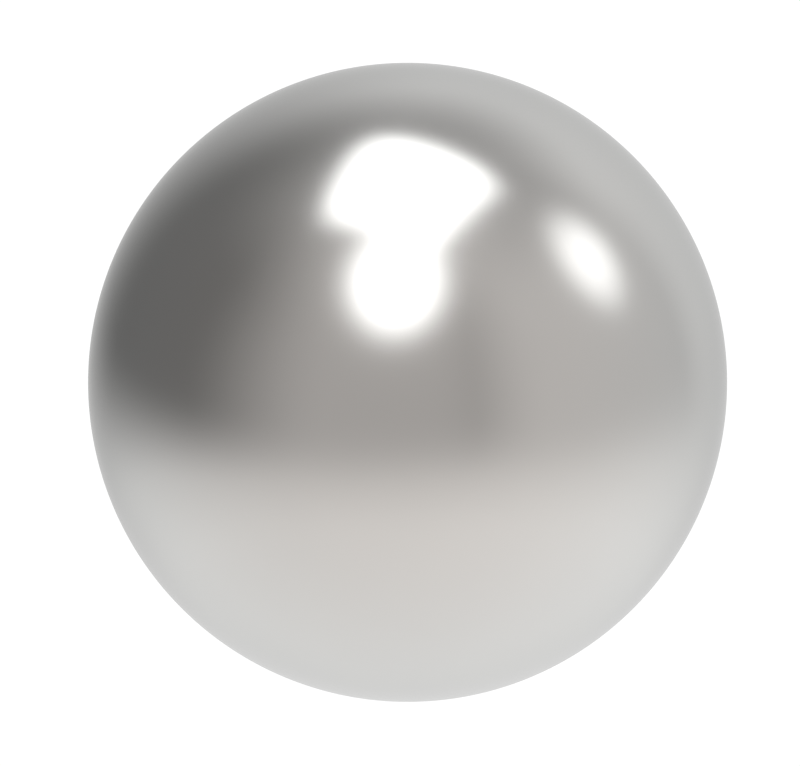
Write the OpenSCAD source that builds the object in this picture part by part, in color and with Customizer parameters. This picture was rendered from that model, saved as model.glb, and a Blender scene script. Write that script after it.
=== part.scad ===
// Solid polished steel ball.
// The ball is one piece: a true sphere with no flat, seam, hole or marking.
// Units are millimetres. The origin is the centre of the ball, and +Z is up.

/* [Ball] */
// Diameter of the ball
ball_d = 25.4; // [1:0.1:100]

/* [Hidden] */
// Segments round the ball's widest circle
ball_segments = 180;

// The whole ball, solid all through and centred on the origin.
module ball() {
    color("silver")
        sphere(d = ball_d, $fn = ball_segments);
}

ball();
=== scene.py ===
import math

import bpy
from mathutils import Matrix, Vector


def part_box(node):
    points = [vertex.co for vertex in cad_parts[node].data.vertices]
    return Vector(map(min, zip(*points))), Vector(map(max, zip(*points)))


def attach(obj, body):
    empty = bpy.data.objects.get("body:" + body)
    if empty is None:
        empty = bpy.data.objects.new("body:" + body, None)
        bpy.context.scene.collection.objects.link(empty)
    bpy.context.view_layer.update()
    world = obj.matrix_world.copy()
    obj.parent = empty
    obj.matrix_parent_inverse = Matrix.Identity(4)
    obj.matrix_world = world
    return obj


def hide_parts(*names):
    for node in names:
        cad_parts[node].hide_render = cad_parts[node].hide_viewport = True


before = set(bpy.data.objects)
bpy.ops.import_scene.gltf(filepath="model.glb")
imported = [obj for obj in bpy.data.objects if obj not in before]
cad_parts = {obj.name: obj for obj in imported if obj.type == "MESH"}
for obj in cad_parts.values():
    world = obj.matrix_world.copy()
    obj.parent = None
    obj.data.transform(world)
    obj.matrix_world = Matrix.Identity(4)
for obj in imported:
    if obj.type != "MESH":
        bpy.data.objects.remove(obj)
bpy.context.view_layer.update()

# The steel ball: one solid ball, lapped to a soft mirror polish, in a white studio.
# Lengths are in metres and angles in degrees, unless a name says otherwise.
# An azimuth is counted round the ball from the camera's side, positive to the camera's right.
# An elevation is counted up from level.

BALL_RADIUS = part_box("ball")[1][2]

# Ball mesh: squares along each side of the cube that is blown up to a ball
GRID_DIVISIONS = 96

# Polished steel
STEEL_BRIGHT = (0.62, 0.62, 0.61, 1.0)
STEEL_DULL = (0.60, 0.60, 0.59, 1.0)
STEEL_ROUGHNESS = 0.19
STEEL_EDGE_TINT = (0.79, 0.79, 0.79, 1.0)
HAZE_PER_METRE = 180.0
HAZE_DETAIL = 3.0
HAZE_LOW = 0.3
HAZE_HIGH = 0.7
HAZE_ROUGHNESS = 0.006

# Hairlines: how each set is turned, the size of the noise cells that draw them, and the noise values
# at which a line starts to show and is full
HAIRLINE_TURNS = [
    (12.0, 25.0, 8.0),
    (64.0, 31.0, 48.0),
    (17.0, 118.0, 83.0),
    (140.0, 55.0, 121.0),
    (95.0, 160.0, 15.0),
]
HAIRLINE_CELL = (0.00003, 0.004, 0.004)
HAIRLINE_DETAIL = 1.0
HAIRLINE_SHOWS = 0.64
HAIRLINE_FULL = 0.76
HAIRLINE_ROUGHNESS = 0.02
HAIRLINE_DEPTH = 0.00000015

# Camera
CAMERA_ELEVATION = 15.0
CAMERA_LENS_MM = 200.0
CAMERA_SENSOR_MM = 36.0
CAMERA_CLIP_START = 0.001
CAMERA_CLIP_END = 10.0
BALL_SHARE_OF_FRAME_WIDTH = 0.799
BALL_RIGHT_OF_MIDDLE = 0.0237
BALL_ABOVE_MIDDLE = 0.0021

# Floor
FLOOR_SIDE = 1.6
WHITE = (1.0, 1.0, 1.0, 1.0)
PAPER_WHITE = 1.05

# Room: bare grey walls with three soft-edged panels. A tone of 1 is white.
BARE_WALL_TONE = 0.2
FRONT_PANEL = {"azimuth": -10.0, "half_width": 48.0, "soft_edge": 60.0, "tone": 0.54}
RIGHT_PANEL = {"azimuth": 80.0, "half_width": 58.0, "soft_edge": 60.0, "tone": 0.7}
BACK_PANEL = {"azimuth": 155.0, "half_width": 48.0, "soft_edge": 60.0, "tone": 0.88}

# Room: the ceiling takes over from the walls between two elevations, and is brighter in front
CEILING_TONE = 0.42
CEILING_BRIGHTER_FRONT = 0.3
CEILING_STARTS = 30.0
CEILING_ENDS = 75.0

# Table: it fades towards its soft edge, and it is brighter to the right and at the back
TABLE_TONE = 1.06
TABLE_EDGE_TONE = 0.7
TABLE_FADES_FROM = -42.0
TABLE_EDGE_STARTS = -24.0
TABLE_EDGE_ENDS = 0.0
TABLE_BRIGHTER_RIGHT = 0.06
TABLE_BRIGHTER_BACK = 0.1

# Table: the edge is seen this many degrees higher to the right and in front
EDGE_HIGHER_RIGHT = 2.0
EDGE_HIGHER_FRONT = 2.0

# Room: the light is a little warmer on the camera's side
WARM_TINT = (1.05, 1.0, 0.97, 1.0)

# Lamps: tone is how bright the core is, and core is its share of the lamp's width. The light falls
# from there to the edge, the faster the higher the fall.
LAMP_DISTANCE = 1.0
OVERHEAD_SOFTBOX = {
    "azimuth": 0.0,
    "elevation": 88.0,
    "width": 0.9,
    "height": 0.9,
    "tone": 3.1,
    "core": 0.4,
    "fall": 0.7,
    "square": True,
    "roll": -27.0,
}
FRONT_SOFTBOX = {
    "azimuth": -6.0,
    "elevation": 50.0,
    "width": 1.05,
    "height": 1.28,
    "tone": 2.7,
    "core": 0.2,
    "fall": 2.6,
}
SIDE_LAMP = {
    "azimuth": 92.0,
    "elevation": 35.0,
    "width": 0.62,
    "height": 0.72,
    "tone": 1.3,
    "core": 0.2,
    "fall": 1.2,
    "roll": -5.0,
}


def add(tree, kind, settings=None, inputs=None):
    """Adds a node. An input that is a socket is linked, and any other value is set."""
    made = tree.nodes.new(kind)
    for name, value in (settings or {}).items():
        setattr(made, name, value)
    for name, value in (inputs or {}).items():
        if isinstance(value, bpy.types.NodeSocket):
            tree.links.new(value, made.inputs[name])
        else:
            made.inputs[name].default_value = value
    return made


def maths(tree, operation, *values):
    made = add(tree, "ShaderNodeMath", {"operation": operation}, dict(enumerate(values)))
    return made.outputs["Value"]


def vector_maths(tree, operation, *values):
    made = add(tree, "ShaderNodeVectorMath", {"operation": operation}, dict(enumerate(values)))
    return made.outputs["Vector"]


def dot(tree, first, second):
    made = add(tree, "ShaderNodeVectorMath", {"operation": "DOT_PRODUCT"}, {0: first, 1: second})
    return made.outputs["Value"]


def mixed(tree, kind, factor, first, second):
    """Mixes or multiplies two colours. The Mix node's colour sockets go by number."""
    settings = {"data_type": "RGBA", "blend_type": kind}
    made = add(tree, "ShaderNodeMix", settings, {0: factor, 6: first, 7: second})
    return made.outputs[2]


def ease(tree, value, start, end, low=0.0, high=1.0):
    """Goes smoothly from low to high as value goes from start to end."""
    made = add(
        tree,
        "ShaderNodeMapRange",
        {"interpolation_type": "SMOOTHSTEP"},
        {"Value": value, "From Min": start, "From Max": end, "To Min": low, "To Max": high},
    )
    return made.outputs["Result"]


def empty_tree(owner):
    """Turns nodes on for a material, world or lamp and returns its cleared tree."""
    owner.use_nodes = True
    owner.node_tree.nodes.clear()
    return owner.node_tree


def direction(azimuth, elevation):
    """Unit vector from the ball towards an azimuth and elevation."""
    turn = math.radians(azimuth)
    lift = math.radians(elevation)
    level = math.cos(lift)
    return Vector((math.sin(turn) * level, -math.cos(turn) * level, math.sin(lift)))


def linked(name, data):
    made = bpy.data.objects.new(name, data)
    bpy.context.scene.collection.objects.link(made)
    return made


# ---------------------------------------------------------------- polished steel


def hairlines_one_way(tree, place, turn):
    """Sparse hairlines left by lapping that all run one way."""
    turned = add(
        tree,
        "ShaderNodeMapping",
        {"vector_type": "TEXTURE"},
        {
            "Vector": place,
            "Rotation": [math.radians(angle) for angle in turn],
            "Scale": HAIRLINE_CELL,
        },
    )
    lines = add(
        tree,
        "ShaderNodeTexNoise",
        {},
        {"Vector": turned.outputs["Vector"], "Scale": 1.0, "Detail": HAIRLINE_DETAIL, "Roughness": 0.5},
    )
    return ease(tree, lines.outputs["Fac"], HAIRLINE_SHOWS, HAIRLINE_FULL)


def polished_steel():
    """Bare hardened steel, lapped to a soft mirror polish, with a faint haze and hairlines."""
    material = bpy.data.materials.new("polished_steel")
    tree = empty_tree(material)
    place = add(tree, "ShaderNodeTexCoord").outputs["Object"]
    noise = {"Vector": place, "Scale": HAZE_PER_METRE, "Detail": HAZE_DETAIL, "Roughness": 0.5}
    haze = add(tree, "ShaderNodeTexNoise", {}, noise).outputs["Fac"]
    hairlines = 0.0
    for turn in HAIRLINE_TURNS:
        hairlines = maths(tree, "MAXIMUM", hairlines_one_way(tree, place, turn), hairlines)
    glossiest = STEEL_ROUGHNESS - HAZE_ROUGHNESS
    haziest = STEEL_ROUGHNESS + HAZE_ROUGHNESS
    even = ease(tree, haze, HAZE_LOW, HAZE_HIGH, glossiest, haziest)
    rough = maths(tree, "MULTIPLY_ADD", hairlines, HAIRLINE_ROUGHNESS, even)
    bump = add(
        tree,
        "ShaderNodeBump",
        {"invert": True},
        {"Strength": 1.0, "Distance": HAIRLINE_DEPTH, "Height": hairlines},
    )
    shader = add(
        tree,
        "ShaderNodeBsdfPrincipled",
        {},
        {
            "Base Color": mixed(tree, "MIX", haze, STEEL_BRIGHT, STEEL_DULL),
            "Metallic": 1.0,
            "Roughness": rough,
            "Specular Tint": STEEL_EDGE_TINT,
            "Normal": bump.outputs["Normal"],
        },
    )
    add(tree, "ShaderNodeOutputMaterial", {}, {"Surface": shader.outputs["BSDF"]})
    return material


# ---------------------------------------------------------------- ball


def ball_tree(material):
    """Geometry Nodes: a cube's grid, spaced by equal angles and blown up to the ball's radius."""
    tree = bpy.data.node_groups.new("lapped_ball", "GeometryNodeTree")
    face = tree.interface
    face.new_socket("Radius", in_out="INPUT", socket_type="NodeSocketFloat")
    face.new_socket("Divisions", in_out="INPUT", socket_type="NodeSocketInt")
    face.new_socket("Geometry", in_out="OUTPUT", socket_type="NodeSocketGeometry")
    sizes = tree.nodes.new("NodeGroupInput").outputs
    count = maths(tree, "ADD", sizes["Divisions"], 1)
    cube = add(
        tree,
        "GeometryNodeMeshCube",
        {},
        {"Size": (2.0, 2.0, 2.0), "Vertices X": count, "Vertices Y": count, "Vertices Z": count},
    )
    place = add(tree, "GeometryNodeInputPosition").outputs["Position"]
    eighth = (math.pi / 4,) * 3
    spaced = vector_maths(tree, "TANGENT", vector_maths(tree, "MULTIPLY", place, eighth))
    unit = vector_maths(tree, "NORMALIZE", spaced)
    scaled = add(
        tree,
        "ShaderNodeVectorMath",
        {"operation": "SCALE"},
        {0: unit, "Scale": sizes["Radius"]},
    )
    blown = add(
        tree,
        "GeometryNodeSetPosition",
        {},
        {"Geometry": cube.outputs["Mesh"], "Position": scaled.outputs["Vector"]},
    )
    smooth = add(tree, "GeometryNodeSetShadeSmooth", {}, {"Geometry": blown.outputs["Geometry"]})
    real = add(tree, "GeometryNodeRealizeInstances", {}, {"Geometry": smooth.outputs["Geometry"]})
    steel = add(
        tree,
        "GeometryNodeSetMaterial",
        {},
        {"Geometry": real.outputs["Geometry"], "Material": material},
    )
    add(tree, "NodeGroupOutput", {}, {"Geometry": steel.outputs["Geometry"]})
    return tree


def made_by(tree, name, sizes):
    """Runs a Geometry Nodes tree with named sizes and returns the result as a plain mesh object."""
    piece = linked(name, bpy.data.meshes.new(name + "_start"))
    nodes = piece.modifiers.new("shape", "NODES")
    nodes.node_group = tree
    for socket in tree.interface.items_tree:
        if socket.in_out == "INPUT":
            nodes[socket.identifier] = sizes[socket.name]
    depsgraph = bpy.context.evaluated_depsgraph_get()
    mesh = bpy.data.meshes.new_from_object(piece.evaluated_get(depsgraph), depsgraph=depsgraph)
    piece.modifiers.remove(nodes)
    piece.data = mesh
    mesh.name = name
    return piece


def steel_ball():
    tree = ball_tree(polished_steel())
    piece = made_by(tree, "steel_ball", {"Radius": BALL_RADIUS, "Divisions": GRID_DIVISIONS})
    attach(piece, "root")
    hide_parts("ball")
    return piece


# ---------------------------------------------------------------- studio


def paper_floor():
    """White paper that glows evenly, level with the bottom of the ball."""
    half = FLOOR_SIDE / 2
    corners = [(-half, -half), (half, -half), (half, half), (-half, half)]
    mesh = bpy.data.meshes.new("floor")
    mesh.from_pydata([(x, y, -BALL_RADIUS) for x, y in corners], [], [(0, 1, 2, 3)])
    material = bpy.data.materials.new("white_paper")
    tree = empty_tree(material)
    glow = add(tree, "ShaderNodeEmission", {}, {"Color": WHITE, "Strength": PAPER_WHITE})
    add(tree, "ShaderNodeOutputMaterial", {}, {"Surface": glow.outputs["Emission"]})
    mesh.materials.append(material)
    floor = linked("floor", mesh)
    floor.visible_glossy = False


def wall_panel(tree, level, azimuth, half_width, soft_edge, tone):
    """Tone of the walls with one panel on them, which fades into the bare wall at its sides."""
    away = maths(tree, "ARCCOSINE", dot(tree, level, direction(azimuth, 0)))
    outside = math.radians(half_width + soft_edge / 2)
    inside = math.radians(half_width - soft_edge / 2)
    return ease(tree, away, outside, inside, BARE_WALL_TONE, tone)


def studio_room():
    """The soft grey room that the ball reflects, with a white table below it."""
    world = bpy.data.worlds.new("studio")
    bpy.context.scene.world = world
    tree = empty_tree(world)
    way = add(tree, "ShaderNodeTexCoord").outputs["Generated"]
    axes = add(tree, "ShaderNodeSeparateXYZ", {}, {"Vector": way}).outputs
    level = vector_maths(tree, "NORMALIZE", vector_maths(tree, "MULTIPLY", way, (1.0, 1.0, 0.0)))
    lift = maths(tree, "ARCSINE", axes["Z"])
    walls = BARE_WALL_TONE
    for panel in (FRONT_PANEL, RIGHT_PANEL, BACK_PANEL):
        walls = maths(tree, "MAXIMUM", wall_panel(tree, level, **panel), walls)
    ceiling = maths(tree, "MULTIPLY_ADD", axes["Y"], -CEILING_BRIGHTER_FRONT, CEILING_TONE)
    up = ease(tree, lift, math.radians(CEILING_STARTS), math.radians(CEILING_ENDS))
    slope = (math.radians(-EDGE_HIGHER_RIGHT), math.radians(EDGE_HIGHER_FRONT), 0.0)
    over_edge = maths(tree, "ADD", lift, dot(tree, way, slope))
    edge_starts = math.radians(TABLE_EDGE_STARTS)
    edge_ends = math.radians(TABLE_EDGE_ENDS)
    fades_from = math.radians(TABLE_FADES_FROM)
    table = ease(tree, over_edge, fades_from, edge_ends, TABLE_TONE, TABLE_EDGE_TONE)
    brighter = dot(tree, way, (TABLE_BRIGHTER_RIGHT, TABLE_BRIGHTER_BACK, 0.0))
    table = maths(tree, "MULTIPLY", table, maths(tree, "ADD", brighter, 1.0))
    room = mixed(tree, "MIX", up, walls, ceiling)
    clear = ease(tree, over_edge, edge_starts, edge_ends)
    room = mixed(tree, "MIX", clear, table, room)
    facing = dot(tree, way, direction(0, CAMERA_ELEVATION))
    warm = mixed(tree, "MIX", ease(tree, facing, -1.0, 1.0), WHITE, WARM_TINT)
    room = mixed(tree, "MULTIPLY", 1.0, room, warm)
    seen = add(tree, "ShaderNodeLightPath").outputs["Is Camera Ray"]
    paper = (PAPER_WHITE, PAPER_WHITE, PAPER_WHITE, 1.0)
    light = add(tree, "ShaderNodeBackground", {}, {"Color": mixed(tree, "MIX", seen, room, paper)})
    add(tree, "ShaderNodeOutputWorld", {}, {"Surface": light.outputs["Background"]})


def soft_lamp(name, azimuth, elevation, width, height, tone, core, fall, square=False, roll=0.0):
    """An area lamp that faces the ball, brightest in its core and fading out to its edge."""
    data = bpy.data.lights.new(name, "AREA")
    data.shape = "RECTANGLE"
    data.size = width
    data.size_y = height
    data.energy = tone * math.pi * width * height
    tree = empty_tree(data)
    across = add(tree, "ShaderNodeNewGeometry").outputs["Parametric"]
    centred = vector_maths(tree, "SUBTRACT", across, (0.5, 0.5, 0.0))
    if square:
        away = vector_maths(tree, "ABSOLUTE", centred)
        axes = add(tree, "ShaderNodeSeparateXYZ", {}, {"Vector": away}).outputs
        fade_x = ease(tree, axes["X"], 0.5, 0.5 * core)
        fade_y = ease(tree, axes["Y"], 0.5, 0.5 * core)
        fade = maths(tree, "MULTIPLY", fade_x, fade_y)
    else:
        far = add(tree, "ShaderNodeVectorMath", {"operation": "LENGTH"}, {0: centred})
        fade = ease(tree, far.outputs["Value"], 0.5, 0.5 * core)
    fade = maths(tree, "POWER", fade, fall)
    glow = add(tree, "ShaderNodeEmission", {}, {"Color": WHITE, "Strength": fade})
    add(tree, "ShaderNodeOutputLight", {}, {"Surface": glow.outputs["Emission"]})
    lamp = linked(name, data)
    way = direction(azimuth, elevation)
    turned = way.to_track_quat("Z", "Y").to_matrix().to_4x4()
    rolled = Matrix.Rotation(math.radians(roll), 4, "Z")
    lamp.matrix_world = Matrix.Translation(way * LAMP_DISTANCE) @ turned @ rolled
    lamp.visible_camera = False
    return lamp


def camera():
    """A long lens a little above the ball, with the ball nearly filling the frame."""
    data = bpy.data.cameras.new("camera")
    data.lens = CAMERA_LENS_MM
    data.sensor_width = CAMERA_SENSOR_MM
    data.clip_start = CAMERA_CLIP_START
    data.clip_end = CAMERA_CLIP_END
    half_view = CAMERA_SENSOR_MM / 2 / CAMERA_LENS_MM
    away = BALL_RADIUS / math.sin(math.atan(half_view * BALL_SHARE_OF_FRAME_WIDTH))
    back = direction(0, CAMERA_ELEVATION)
    turned = back.to_track_quat("Z", "Y").to_matrix()
    aside = -BALL_RADIUS * (BALL_RIGHT_OF_MIDDLE * turned.col[0] + BALL_ABOVE_MIDDLE * turned.col[1])
    eye = linked("camera", data)
    eye.matrix_world = Matrix.Translation(back * away + aside) @ turned.to_4x4()
    bpy.context.scene.camera = eye


steel_ball()
paper_floor()
studio_room()
soft_lamp("overhead_softbox", **OVERHEAD_SOFTBOX)
soft_lamp("front_softbox", **FRONT_SOFTBOX)
soft_lamp("side_lamp", **SIDE_LAMP)
camera()
bpy.context.scene.view_settings.view_transform = "Standard"
